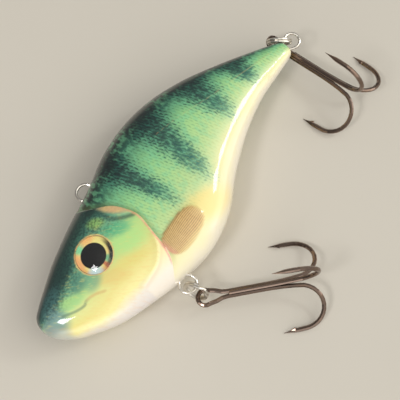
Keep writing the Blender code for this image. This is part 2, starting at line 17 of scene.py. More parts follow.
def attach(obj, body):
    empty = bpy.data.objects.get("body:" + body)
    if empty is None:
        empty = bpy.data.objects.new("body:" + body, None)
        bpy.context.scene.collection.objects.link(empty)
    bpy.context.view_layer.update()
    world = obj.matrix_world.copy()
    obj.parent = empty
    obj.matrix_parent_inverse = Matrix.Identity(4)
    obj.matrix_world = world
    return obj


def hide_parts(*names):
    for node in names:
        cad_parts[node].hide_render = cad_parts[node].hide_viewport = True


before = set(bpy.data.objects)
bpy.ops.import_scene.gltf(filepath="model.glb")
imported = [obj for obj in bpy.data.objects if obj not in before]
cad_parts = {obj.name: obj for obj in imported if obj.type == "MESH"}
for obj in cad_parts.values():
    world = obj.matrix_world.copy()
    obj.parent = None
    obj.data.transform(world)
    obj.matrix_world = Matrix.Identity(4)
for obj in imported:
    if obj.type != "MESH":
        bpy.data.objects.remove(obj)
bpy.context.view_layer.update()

MM = 0.001
# Points closer than this, in metres, become one.
WELD = 1e-7

# ---- the bait's form, in millimetres, as in the part --------------------------------
BAIT_ORIGIN = (-56.1, 17.2, 9.0)
SIDES = (("left", 1), ("right", -1))
# X, then the back's and the belly's Y and half the thickness there.
STATIONS = (
    (-0.9, -2.4, -2.4, 0.0),
    (-0.5, -0.2, -4.4, 2.3),
    (0.6, 1.6, -6.4, 3.7),
    (2.6, 2.9, -8.7, 4.7),
    (6.0, 4.6, -11.4, 5.5),
    (14.0, 8.3, -15.8, 6.7),
    (24.0, 11.7, -18.6, 7.7),
    (34.0, 14.4, -20.6, 8.7),
    (44.0, 17.9, -21.0, 9.3),
    (54.0, 19.4, -18.2, 9.2),
    (64.0, 18.6, -12.2, 8.1),
    (74.0, 15.7, -7.4, 6.5),
    (84.0, 11.1, -4.2, 4.9),
    (93.0, 6.3, -3.0, 3.4),
    (98.0, 3.4, -2.4, 2.6),
    (99.7, 2.1, -1.6, 1.8),
    (100.3, 0.3, 0.3, 0.0),
)
# The flank flattens softly below FLANK, and nothing on it stands past FLANK_LIMIT.
FLANK, FLANK_SOFTNESS = 8.8, 0.55
FLANK_LIMIT = 8.99
# How square the section is from the back to the belly, and through the flanks.
BACK_POWER, FLANK_POWER = 0.9, 0.76
RIBS_PER_STATION, SECTION_STEPS = 16, 96
SHARP_ANGLE = math.radians(40)

# The gill cover's rear edge, X and Y from the back to the belly. The ribs bend to it
# from where they would stand straight at GILL_X, out to GILL_SPREAD on either side.
GILL_EDGE = (
    (27.5, 13.0),
    (30.6, 8.8),
    (34.3, 4.7),
    (36.2, 1.0),
    (37.3, -3.2),
    (36.4, -8.4),
    (35.4, -13.2),
    (33.8, -16.8),
    (30.5, -20.5),
)
GILL_X, GILL_SPREAD = 33.0, 14.0
# The cover rises over GILL_FADE, drops over its lip and leaves a dip behind it.
GILL_RISE, GILL_LIP, GILL_DIP = 0.42, 0.4, 0.14
GILL_FADE = (10.0, 26.0)
# Close ribs round the lip, counted in lips from it, and where they take over.
LIP_RIBS = (-3.0, -2.0, -1.2, -0.6, -0.2, 0.1, 0.4, 0.7, 1.0, 1.4, 2.2, 3.0)
LIP_REACH = 3.2

# Pectoral fin: its root and tip, its half width and how far it stands up.
FIN_ROOT, FIN_TIP = (35.2, -14.4), (48.6, -13.3)
FIN_HALF_WIDTH, FIN_RISE = 3.75, 0.32
# How square its outline is, and between which reaches it falls to the flank.
FIN_POWER, FIN_EDGE = 3.2, (0.82, 1.08)

# Lines of the head's relief and paint, each from its first point to its last.
LINES = {
    "cheek": (
        (37.2, -2.6), (36.9, -6.0), (36.0, -9.3), (34.6, -11.7),
        (32.6, -13.5), (30.0, -14.7), (24.5, -15.3)),
    "crease": ((29.6, 8.2), (31.3, 6.0), (31.9, 2.6), (33.7, 0.4), (36.6, -1.6)),
    "mouth": ((5.6, -4.6), (8.7, -6.4), (11.2, -7.2), (12.5, -6.8), (14.9, -7.4), (17.4, -8.9)),
    "lateral": ((56.0, 8.6), (65.0, 7.1), (73.1, 5.2), (84.3, 3.4), (95.0, 1.6)),
}
# How far each line is raised or sunk, and the half width of that.
RELIEF = {
    "cheek": (0.30, 0.8),
    "crease": (-0.14, 0.6),
    "mouth": (-0.02, 0.5),
    "lateral": (0.04, 0.3),
}
# Reach to either side over which the flank's slope is measured.
SLOPE_STEP = 1.5

EYE_CENTRE = (22.3, -0.6)
EYE_SIDES = 96
SOCKET_RADIUS, SOCKET_DEPTH, CUTTER_DEPTH = 5.06, 1.2, 6
PUPIL_RADIUS, PUPIL_SHIFT = 3.4, (-0.2, 0.15)
LENS_RADIUS, LENS_EDGE, LENS_CROWN = 4.97, 0.02, 1.05
LENS_STEPS = 13
# Radius and height of the foil all round, and of the lens from its middle to its rim below.
FOIL_PROFILE = ((0, -1.15), (4.97, -1.15), (4.97, -0.12), (4.8, -0.14), (3.4, -0.42), (0, -0.5))
LENS_BASE = ((0, -0.45), (3.4, -0.37), (4.8, -0.09), (LENS_RADIUS, -0.07))

# ---- paint --------------------------------------------------------------------------
# Dark bars: X at the back and at the foot, half width, and the foot's height on the flank.
BARS = (
    (42.0, 46.4, 4.5, 0.28),
    (57.8, 57.4, 6.0, 0.14),
    (73.0, 74.2, 6.2, 0.15),
    (85.4, 85.8, 5.0, 0.16),
)
SCALE_PITCH, SCALE_LENGTH, SCALE_TILT = 0.80, 1.55, 17.0

# Colours from the belly, 0, to the back, 1.
TRUNK_RAMP = (
    (0.0, "e6dcc8"), (0.06, "e8dfb4"), (0.13, "e0da9c"), (0.22, "ccdc9c"), (0.34, "bad892"),
    (0.48, "aad68c"), (0.62, "90ca86"), (0.73, "70ae7a"), (0.82, "306450"), (0.89, "122c26"),
    (1.0, "081412"),
)
HEAD_RAMP = (
    (0.0, "dcd4d0"), (0.08, "e2dacc"), (0.16, "ece298"), (0.26, "e4d884"), (0.38, "d8da84"),
    (0.50, "b0d886"), (0.62, "7cb68a"), (0.74, "4c8670"), (0.85, "264c40"), (1.0, "101c18"),
)
# Soft ellipses on the trunk and head: centre, radii, turn in degrees, colour and weight.
# Each is full out to the core, as a share of its radii.
SPOT_CORE = 0.3
TRUNK_PATCHES = (
    ((50.0, -13.5), (12.0, 5.5), -12.0, "eed47c", 0.75),
    ((40.0, 10.0), (5.0, 3.0), 20.0, "57a07c", 0.5),
)
HEAD_PATCHES = (
    ((21.4, -8.0), (6.5, 3.0), -35.0, "e2c26c", 0.6),
    ((27.5, -8.8), (7.0, 2.4), -20.0, "e0d070", 0.6),
    ((30.6, -4.6), (8.5, 5.0), -25.0, "b4e088", 0.9),
    ((30.8, -0.6), (5.8, 2.8), -35.0, "52b482", 0.8),
    ((28.6, 4.6), (3.4, 2.1), -40.0, "98c468", 0.75),
    ((13.0, 2.6), (9.0, 3.2), 18.0, "1b3a36", 0.8),
    ((17.4, -4.4), (4.6, 3.4), 30.0, "5c9c80", 0.7),
    ((14.2, -2.0), (4.4, 3.4), 30.0, "42806e", 0.75),
    ((5.6, 0.0), (6.5, 3.6), 25.0, "3c6664", 0.8),
    ((3.2, -4.4), (5.2, 5.0), 40.0, "6a918e", 0.9),
    ((0.0, -4.8), (3.4, 3.8), 0.0, "94a49e", 0.9),
    ((0.5, -8.8), (4.6, 4.8), -50.0, "c0c4b8", 0.95),
    ((9.6, -3.9), (4.6, 2.2), -27.0, "a4d484", 1.0),
    ((34.2, 3.6), (5.8, 1.5), -56.0, "d6b07c", 0.95),
    ((30.2, 8.2), (2.4, 1.6), 0.0, "14241e", 0.9),
)
# A tan patch at the gill cover's top, where the dark dots are fewer.
CLEAR_PATCH = ((34.2, 3.6), (5.8, 2.4), -56.0)

# Iris colours outward, and patches of it: direction and half width in degrees, colour, weight.
IRIS_RAMP = ((0.64, "f2dc84"), (0.76, "fae894"), (0.86, "f4c878"), (1.0, "e4a864"))
IRIS_SECTORS = (
    (105, 30, "6cd6a0", 0.9),
    (70, 35, "f6bc74", 0.7),
    (160, 40, "f4ae74", 0.8),
    (15, 40, "f4ee94", 0.8),
    (-60, 20, "4cc496", 0.8),
    (-82, 10, "d0573c", 0.8),
    # Pale cyan toward the nose and belly: a painted reflection of the sky on the lens.
    (-128, 34, "d4eef0", 0.95),
)

# Metals: colour, worn colour, roughness and how fine the streaks are.
METALS = {
    "black_nickel_plate": ("74665e", "b08c72", 0.12, 900.0),
    "bright_wire": ("dcd6cc", "b4aca0", 0.24, 1200.0),
    "ballast_shot": ("8d8a84", "5e5a55", 0.3, 700.0),
}
HOOKS = ("belly_double_hook", "belly_single_hook", "tail_double_hook", "tail_single_hook")
WIRES = ("line_tie", "belly_eyelet", "tail_eyelet", "belly_split_ring", "tail_split_ring")

# ---- camera, in millimetres and degrees ---------------------------------------------
CAMERA_PLACE = (-43.9, -55.8, 244.9)
CAMERA_AZIMUTH, CAMERA_ELEVATION, CAMERA_ROLL = -32.1, 72.5, -17.8
CAMERA_LENS = 84.3

# Where the sky is brightest, and its colour by how squarely a direction faces that.
SKY_BEARING = (-65.0, 48.0)
SKY = (
    (0.0, (0.21, 0.21, 0.21)),
    (0.5, (0.40, 0.40, 0.39)),
    (0.8, (0.76, 0.75, 0.72)),
    (0.95, (1.75, 1.71, 1.62)),
)
# Bright low parts of the sky that the wires mirror: bearing, then strength. A glow
# starts and is full at these cosines of the angle from its bearing.
LOW_GLOWS = (((-44, 6), 1.7), ((-134, 10), 1.7))
GLOW_EDGE = (0.88, 0.96)
# Area lights: name, bearing, distance and size in metres, power and colour.
LIGHTS = (
    ("belly_side_window", (-33, 42), 0.6, (0.11, 0.11), 0.42, (0.92, 1.0, 1.0)),
    ("nose_side_window", (176, 57), 0.6, (0.13, 0.11), 0.85, (1.0, 1.0, 1.0)),
)
FLOOR_SIZE, FLOOR_DROP = 2.0, 0.1 * MM


# ---- node helper --------------------------------------------------------------------
def linear(colour):
    """A colour written as six hex digits, as the linear values that shaders take."""
    values = [int(colour[i : i + 2], 16) / 255 for i in (0, 2, 4)]
    rgb = (v / 12.92 if v <= 0.04045 else ((v + 0.055) / 1.055) ** 2.4 for v in values)
    return (*rgb, 1.0)


class Graph:
    """A material whose nodes are made by short calls. Sockets and plain numbers mix freely."""

    def __init__(self, name, **settings):
        self.material = bpy.data.materials.new(name)
        self.material.use_nodes = True
        self.nodes = self.material.node_tree.nodes
        self.links = self.material.node_tree.links
        self.shader = self.nodes["Principled BSDF"]
        self.coords = self.nodes.new("ShaderNodeTexCoord").outputs["Object"]
        for socket, value in settings.items():
            self.shader.inputs[socket.replace("_", " ")].default_value = value

    def feed(self, socket, value):
        """Links a socket to a value that is a socket, or sets it to a plain one."""
        if isinstance(value, bpy.types.NodeSocket):
            self.links.new(value, socket)
        else:
            socket.default_value = value

    def math(self, operation, *values):
        node = self.nodes.new("ShaderNodeMath")
        node.operation = operation
        for socket, value in zip(node.inputs, values):
            self.feed(socket, value)
        return node.outputs[0]

    def add(self, a, b):
        return self.math("ADD", a, b)

    def sub(self, a, b):
        return self.math("SUBTRACT", a, b)

    def mul(self, a, b):
        return self.math("MULTIPLY", a, b)

    def step(self, value, low, high, to_low=0.0, to_high=1.0):
        """Smoothly from to_low to to_high as the value goes from low to high."""
        node = self.nodes.new("ShaderNodeMapRange")
        node.interpolation_type = "SMOOTHSTEP"
        for i, item in enumerate((value, low, high, to_low, to_high)):
            self.feed(node.inputs[i], item)
        return node.outputs[0]

    def attribute(self, name):
        """A value that the mesh holds at each point."""
        node = self.nodes.new("ShaderNodeAttribute")
        node.attribute_name = name
        return node.outputs["Fac"]

    def axes(self):
        """X, Y and Z of the place, in metres."""
        node = self.nodes.new("ShaderNodeSeparateXYZ")
        self.links.new(self.coords, node.inputs[0])
        return node.outputs

    def vector(self, x, y, z):
        node = self.nodes.new("ShaderNodeCombineXYZ")
        for socket, value in zip(node.inputs, (x, y, z)):
            self.feed(socket, value)
        return node.outputs[0]

    def noise(self, scale, detail=3.0, coords=None):
        node = self.nodes.new("ShaderNodeTexNoise")
        self.links.new(coords or self.coords, node.inputs["Vector"])
        node.inputs["Scale"].default_value = scale
        node.inputs["Detail"].default_value = detail
        return node.outputs["Fac"]

    def ramp(self, value, stops):
        """A colour ramp from (place, hex colour) stops."""
        node = self.nodes.new("ShaderNodeValToRGB")
        self.feed(node.inputs[0], value)
        elements = node.color_ramp.elements
        while len(elements) < len(stops):
            elements.new(0.5)
        for element, (place, colour) in zip(elements, stops):
            element.position = place
            element.color = linear(colour)
        return node.outputs[0]

    def mix(self, share, a, b):
        """The colour that is this share of the way from a to b."""
        node = self.nodes.new("ShaderNodeMix")
        node.data_type = "RGBA"
        self.feed(node.inputs["Factor"], share)
        self.feed(node.inputs[6], linear(a) if isinstance(a, str) else a)
        self.feed(node.inputs[7], linear(b) if isinstance(b, str) else b)
        return node.outputs[2]

    def bump(self, height, strength, distance):
        """Relief on the shader from a height of 0 to 1, over a distance in metres."""
        node = self.nodes.new("ShaderNodeBump")
        self.feed(node.inputs["Height"], height)
        node.inputs["Strength"].default_value = strength
        node.inputs["Distance"].default_value = distance
        self.links.new(node.outputs[0], self.shader.inputs["Normal"])

    def length(self, x, y):
        """How far x and y are from zero together."""
        return self.math("SQRT", self.add(self.mul(x, x), self.mul(y, y)))

    def set(self, socket, value):
        """Feeds one of the shader's sockets."""
        self.feed(self.shader.inputs[socket], value)


# ---- the bait's surface -------------------------------------------------------------
def through(points, steps):
    """A smooth curve through the points, with this many steps between each two."""
    points = np.array(points, float)
    knots = np.vstack([2 * points[0] - points[1], points, 2 * points[-1] - points[-2]])
    curve = []
    for i in range(len(points) - 1):
        a, b, c, d = knots[i : i + 4]
        for t in np.arange(steps) / steps:
            bend = (2 * a - 5 * b + 4 * c - d) * t**2 + (3 * b - a - 3 * c + d) * t**3
            curve.append(0.5 * (2 * b + (c - a) * t + bend))
    curve.append(points[-1])
    return np.array(curve)


ROWS = through(STATIONS, RIBS_PER_STATION)


def smooth(value, low, high):
    """From 0 at low to 1 at high, with no corner at either."""
    t = np.clip((value - low) / (high - low), 0.0, 1.0)
    return t * t * (3 - 2 * t)


def outline_at(x):
    """The back's and the belly's Y and half the thickness at X."""
    return [np.interp(x, ROWS[:, 0], ROWS[:, i]) for i in (1, 2, 3)]


def softly_under(z, limit, softness):
    """z, rounded off below the limit."""
    return limit - softness * np.logaddexp(0, (limit - z) / softness)


def section_heights(back, belly, angles):
    """Y round a section, from the back at angle 0 to the belly."""
    c = np.cos(angles)
    return (back + belly) / 2 + (back - belly) / 2 * np.sign(c) * np.abs(c) ** BACK_POWER


def distance_to(x, y, points):
    """How far each place is from a smooth line through the points."""
    line = through(points, 6)
    nearest = np.full(x.shape, np.inf)
    for (ax, ay), (bx, by) in zip(line[:-1], line[1:]):
        dx, dy = bx - ax, by - ay
        t = np.clip(((x - ax) * dx + (y - ay) * dy) / (dx * dx + dy * dy), 0, 1)
        nearest = np.minimum(nearest, np.hypot(x - ax - t * dx, y - ay - t * dy))
    return nearest


def fin_place(x, y):
    """Share of the way from the fin's root to its tip, and across it from -1 to 1.

    The fin is widest a little before its middle.
    """
    root, tip = np.array(FIN_ROOT), np.array(FIN_TIP)
    along = (tip - root) / np.linalg.norm(tip - root)
    dx, dy = x - root[0], y - root[1]
    share = (dx * along[0] + dy * along[1]) / np.linalg.norm(tip - root)
    width = FIN_HALF_WIDTH * (0.92 + 0.45 * share - 0.55 * share**2)
    return share, (dy * along[0] - dx * along[1]) / width


def fin_mask(share, across):
    """1 inside the fin, falling to 0 over its soft edge."""
    reach = (np.abs(share - 0.5) / 0.5) ** FIN_POWER + np.abs(across) ** FIN_POWER
    return 1 - smooth(reach, *FIN_EDGE)


def skin_ribs():
    """Rib places along the bait. The ribs near the gill cover bend to follow its edge."""
    angles = np.linspace(0, math.pi, SECTION_STEPS + 1)
    edge = through(GILL_EDGE, 8)[::-1]
    back, belly, _ = outline_at(GILL_X)
    bends = np.interp(section_heights(back, belly, angles), edge[:, 1], edge[:, 0]) - GILL_X
    close = GILL_X + GILL_LIP * np.array(LIP_RIBS)
    far = [x for x in ROWS[:, 0] if abs(x - GILL_X) > LIP_REACH * GILL_LIP]
    plan = np.sort(np.r_[far, close])
    weights = np.clip(1 - np.abs(plan - GILL_X) / GILL_SPREAD, 0, None)
    xs = plan[:, None] + weights[:, None] * bends[None, :]
    return plan, xs, np.broadcast_to(angles, xs.shape)


def cheek_edge():
    """Y and X along the cheek's rear edge, by rising Y."""
    edge = through(LINES["cheek"], 6)
    edge = edge[np.argsort(edge[:, 1])]
    return edge[:, 1], edge[:, 0]


def skin_points():
    """The left flank's grid of points, with the values that the paint reads at each."""
    plan, x, angles = skin_ribs()
    back, belly, half = outline_at(x)
    s = np.clip(np.sin(angles), 0, None)
    y = section_heights(back, belly, angles)
    behind = (plan - GILL_X)[:, None]
    relief = GILL_RISE * smooth(x, *GILL_FADE) * (1 - smooth(behind, -0.1, GILL_LIP))
    dip = smooth(behind, 0.0, GILL_LIP) * (1 - smooth(behind, GILL_LIP, 4 * GILL_LIP))
    relief = relief - GILL_DIP * dip
    share, across = fin_place(x, y)
    fin = fin_mask(share, across)
    lines = {name: distance_to(x, y, points) for name, points in LINES.items()}
    for name, (lift, width) in RELIEF.items():
        relief = relief + lift * np.exp(-((lines[name] / width) ** 2)) * smooth(s, 0.1, 0.5)
    plain = np.clip(half, 0, None) * s**FLANK_POWER
    z = softly_under(plain, FLANK, FLANK_SOFTNESS) + (relief + FIN_RISE * fin) * s
    z = np.where(plain > 1e-6, np.clip(z, 0, FLANK_LIMIT), 0)

    # The paint reads: rise, 0 at the belly and 1 at the back; the way behind the gill's
    # edge; the fin and the place in it; the distance to each line; and outer_cover, 1 on
    # the gill cover behind the cheek.
    height = np.clip(back - belly, 0.01, None)
    values = {"rise": (y - belly) / height, "behind_gill": np.broadcast_to(behind, x.shape)}
    values |= {"fin": fin, "fin_share": share, "fin_across": across} | lines
    values["outer_cover"] = smooth(np.interp(y, *cheek_edge()) - x, 0.2, -0.5) * (behind < 0.3)
    return np.stack([x, y, z], axis=2), values


def skin_mesh(name, side):
    """One painted half, closed by flat faces in the seam plane."""
    points, values = skin_points()
    ribs, steps = points.shape[:2]
    mesh = bpy.data.meshes.new(name)
    flat = points.reshape(-1, 3) * (1, 1, side)
    seam = flat * (1, 1, 0)
    world = (np.vstack([flat, seam]) + BAIT_ORIGIN) * MM
    faces = []
    offset = ribs * steps
    for i in range(ribs - 1):
        for k in range(steps - 1):
            quad = (i * steps + k, i * steps + k + 1, (i + 1) * steps + k + 1, (i + 1) * steps + k)
            faces.append(quad)
            faces.append(tuple(offset + j for j in reversed(quad)))
    mesh.from_pydata([tuple(p) for p in world], [], faces)
    for key, value in values.items():
        layer = mesh.attributes.new(key, "FLOAT", "POINT")
        layer.data.foreach_set("value", np.tile(np.asarray(value, float).ravel(), 2))
    tidy = bmesh.new()
    tidy.from_mesh(mesh)
    bmesh.ops.remove_doubles(tidy, verts=tidy.verts, dist=WELD)
    bmesh.ops.recalc_face_normals(tidy, faces=tidy.faces)
    tidy.to_mesh(mesh)
    tidy.free()
    return mesh


def surface_frame(x, y, side):
    """A matrix whose +Z stands outward on the flank over a point."""
    def height(px, py):
        back, belly, half = outline_at(px)
        share = min(abs((py - (back + belly) / 2) / ((back - belly) / 2)), 1.0)
        return half * math.sqrt(1 - share ** (2 / BACK_POWER)) ** FLANK_POWER

    h = SLOPE_STEP
    slope_x = (height(x + h, y) - height(x - h, y)) / (2 * h)
    slope_y = (height(x, y + h) - height(x, y - h)) / (2 * h)
    normal = Vector((-slope_x, -slope_y, 1.0)).normalized()
    normal.z *= side
    place = (Vector((x, y, height(x, y) * side)) + Vector(BAIT_ORIGIN)) * MM
    turn = Vector((0, 0, 1)).rotation_difference(normal).to_matrix().to_4x4()
    return Matrix.Translation(place) @ turn


def cut_socket(obj, side):
    """Cuts the round eye socket out of a painted half."""
    mesh = bpy.data.meshes.new("socket_cutter")
    tool = bmesh.new()
    radius, lift = SOCKET_RADIUS * MM, (CUTTER_DEPTH / 2 - SOCKET_DEPTH) * MM
    bmesh.ops.create_cone(
        tool, cap_ends=True, segments=EYE_SIDES, radius1=radius, radius2=radius,
        depth=CUTTER_DEPTH * MM)
    bmesh.ops.translate(tool, verts=tool.verts, vec=(0, 0, lift))
    tool.to_mesh(mesh)
    tool.free()
    mesh.transform(surface_frame(*EYE_CENTRE, side))
    cutter = bpy.data.objects.new("socket_cutter", mesh)
    bpy.context.scene.collection.objects.link(cutter)
    repair = bmesh.new()
    repair.from_mesh(mesh)
    bmesh.ops.recalc_face_normals(repair, faces=repair.faces)
    repair.to_mesh(mesh)
    repair.free()
    cut = obj.modifiers.new("socket", "BOOLEAN")
    cut.operation = "DIFFERENCE"
    cut.solver = "EXACT"
    cut.object = cutter
    graph = bpy.context.evaluated_depsgraph_get()
    made = bpy.data.meshes.new_from_object(obj.evaluated_get(graph))
    obj.modifiers.remove(cut)
    obj.data = made
    bpy.data.objects.remove(cutter, do_unlink=True)


def make_turned(name, profile, place, side, surface):
    """A piece turned about the eye's axis from (radius, height) points, in millimetres."""
    mesh = bpy.data.meshes.new(name)
    tool = bmesh.new()
    points = [tool.verts.new((radius * MM, 0, height * MM)) for radius, height in profile]
    edges = [tool.edges.new(pair) for pair in zip(points[:-1], points[1:])]
    bmesh.ops.spin(tool, geom=points + edges, axis=(0, 0, 1), steps=EYE_SIDES, angle=2 * math.pi)
    bmesh.ops.remove_doubles(tool, verts=tool.verts, dist=WELD)
    bmesh.ops.recalc_face_normals(tool, faces=tool.faces)
    tool.to_mesh(mesh)
    tool.free()
    mesh.transform(surface_frame(*place, side))
    mesh.materials.append(surface)
    mesh.shade_smooth()
    mesh.set_sharp_from_angle(angle=SHARP_ANGLE)
    made = bpy.data.objects.new(name, mesh)
    bpy.context.scene.collection.objects.link(made)
    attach(made, "bait")
    return made


def make_eye(side_name, side, foil_surface, lens_surface):
    """A dished foil iris near the skin's surface and the clear lens that covers it."""
    made = make_turned(f"{side_name}_iris_foil", FOIL_PROFILE, EYE_CENTRE, side, foil_surface)
    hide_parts(f"{side_name}_iris_disc")
    lens = list(LENS_BASE)
    for share in np.linspace(1, 0, LENS_STEPS):
        lens.append((LENS_RADIUS * share, LENS_EDGE + LENS_CROWN * (1 - share**2)))
    made = make_turned(f"{side_name}_eye_lens", lens, EYE_CENTRE, side, lens_surface)
    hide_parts(f"{side_name}_eye_dome")


def make_skin(side_name, side, paint):
    """One painted half with its eye socket, in place of the plain shell."""
    name = f"{side_name}_painted_half"
    obj = bpy.data.objects.new(name, skin_mesh(name, side))
    bpy.context.scene.collection.objects.link(obj)
    cut_socket(obj, side)
    obj.data.materials.clear()
    obj.data.materials.append(paint)
    obj.data.shade_smooth()
    obj.data.set_sharp_from_angle(angle=SHARP_ANGLE)
    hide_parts(f"{side_name}_body_shell")
    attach(obj, "bait")


# ---- materials ----------------------------------------------------------------------
def bait_axes(g):
    """The bait's own X and Y in millimetres."""
    x, y, _ = g.axes()
    x = g.sub(g.mul(x, 1 / MM), BAIT_ORIGIN[0])
    y = g.sub(g.mul(y, 1 / MM), BAIT_ORIGIN[1])
    return x, y


def depth(g):
    """Distance through the bait in millimetres, which breaks a pattern up over the back."""
    return g.mul(g.axes()[2], 1 / MM)


def bar(g, x, rise, back_x, foot_x, half_width, foot):
    """A dark perch bar from the back to its foot: ragged, soft sided and narrower below."""
    middle = g.step(rise, foot, 0.95, foot_x, back_x)
    off = g.math("ABSOLUTE", g.sub(x, middle))
    width = g.step(rise, foot, 0.9, half_width * 0.42, half_width)
    body = g.step(g.math("DIVIDE", off, width), 0.0, 1.65, 1.0, 0.0)
    return g.mul(body, g.step(rise, foot - 0.12, foot + 0.22))


def spot(g, x, y, centre, radii, turn):
    """1 at the heart of a soft ellipse, 0 outside it."""
    c, s = math.cos(math.radians(turn)), math.sin(math.radians(turn))
    dx, dy = g.sub(x, centre[0]), g.sub(y, centre[1])
    along = g.mul(g.add(g.mul(dx, c), g.mul(dy, s)), 1 / radii[0])
    across = g.mul(g.sub(g.mul(dy, c), g.mul(dx, s)), 1 / radii[1])
    return g.step(g.length(along, across), SPOT_CORE, 1.0, 1.0, 0.0)


def patched(g, x, y, colour, patches):
    """The colour with soft ellipses laid over it in turn."""
    for centre, radii, turn, paint, weight in patches:
        colour = g.mix(g.mul(spot(g, x, y, centre, radii, turn), weight), colour, paint)
    return colour


def stroke(g, name, core, edge):
    """1 on one of the named lines, 0 beyond its edge."""
    return g.step(g.attribute(name), core, edge, 1.0, 0.0)


def scale_rows(g, x, y):
    """Places counted in scales: across the body's rows and down them, and their drift."""
    c, s = math.cos(math.radians(SCALE_TILT)), math.sin(math.radians(SCALE_TILT))
    drift = g.mul(g.sub(g.noise(420, 3.0), 0.5), 1.5)
    across = g.add(g.mul(g.add(g.mul(x, c), g.mul(y, s)), 1 / SCALE_PITCH), drift)
    down = g.mul(g.sub(g.mul(y, c), g.mul(x, s)), 1 / SCALE_LENGTH)
    return across, down, drift


def scale_marks(g, x, y):
    """Rows of short dark arcs across the body, each row set half a scale from the last."""
    across, down, drift = scale_rows(g, x, y)
    row = g.math("FLOOR", across)
    down = g.add(down, g.add(g.mul(row, 0.5), g.mul(drift, 0.4)))
    du = g.sub(g.math("FRACT", across), 0.5)
    dw = g.sub(g.math("FRACT", down), 0.5)
    bow = g.add(du, g.mul(g.mul(dw, dw), 0.8))
    away = g.add(g.mul(g.mul(bow, bow), 13.0), g.mul(g.mul(dw, dw), 3.6))
    broken = g.step(g.noise(1100, 2.0), 0.3, 0.55, 0.35, 1.0)
    return g.mul(g.step(away, 0.05, 1.1, 1.0, 0.0), broken)


def hatching(g, x, y, z):
    """Fine grain drawn out along the scale rows."""
    across, down, _ = scale_rows(g, x, y)
    return g.noise(1.0, 2.0, g.vector(g.mul(across, 1.15), down, z))


def trunk_colour(g, x, y, rise, marks, speckle):
    """Yellow belly through green to a near-black back, with dark bars and scale marks."""
    z = depth(g)
    level = g.add(rise, g.mul(g.sub(g.noise(150), 0.5), 0.09))
    colour = patched(g, x, y, g.ramp(level, TRUNK_RAMP), TRUNK_PATCHES)
    cloud = g.noise(1.0, 3.0, g.vector(g.mul(x, 0.9), g.mul(y, 0.5), g.mul(z, 0.5)))
    mint = g.mul(g.step(cloud, 0.42, 0.66), g.step(rise, 0.15, 0.4))
    colour = g.mix(g.mul(mint, 0.5), colour, "7ccc98")

    # The dark bars: a green wash, then ink that the scale rows break up.
    streaks = g.noise(1.0, 3.0, g.vector(g.mul(x, 0.22), g.mul(y, 1.5), g.mul(z, 1.5)))
    ragged = g.add(x, g.mul(g.sub(streaks, 0.5), 3.6))
    bars = bar(g, ragged, rise, *BARS[0])
    for spec in BARS[1:]:
        bars = g.math("MAXIMUM", bars, bar(g, ragged, rise, *spec))
    grain = g.mul(g.sub(hatching(g, x, y, z), 0.5), 1.7)
    hatch = g.add(grain, g.mul(g.sub(marks, 0.3), 0.5))
    inked = g.mul(g.step(g.add(bars, hatch), 0.2, 1.15), g.step(bars, 0.02, 0.4))
    wash = g.ramp(rise, ((0.15, "8cc890"), (0.45, "4aa486"), (0.7, "2a8070"), (0.9, "12332e")))
    dark = g.ramp(rise, ((0.15, "4f9480"), (0.4, "12564e"), (0.65, "04282a"), (0.9, "020e10")))
    colour = g.mix(g.mul(bars, 0.75), colour, wash)
    colour = g.mix(g.mul(inked, 0.95), colour, dark)

    # Scale marks over all of it, and the lateral line.
    weight = g.mul(g.step(rise, 0.10, 0.34), g.step(rise, 1.0, 0.85))
    strength = g.add(g.add(0.22, g.mul(bars, 0.3)), g.mul(speckle, 0.25))
    ink = g.ramp(rise, ((0.15, "b4b868"), (0.45, "44885e"), (0.8, "0c2a26")))
    colour = g.mix(g.mul(g.mul(weight, marks), strength), colour, ink)
    return g.mix(g.mul(stroke(g, "lateral", 0.03, 0.25), 0.3), colour, "c9b07a")


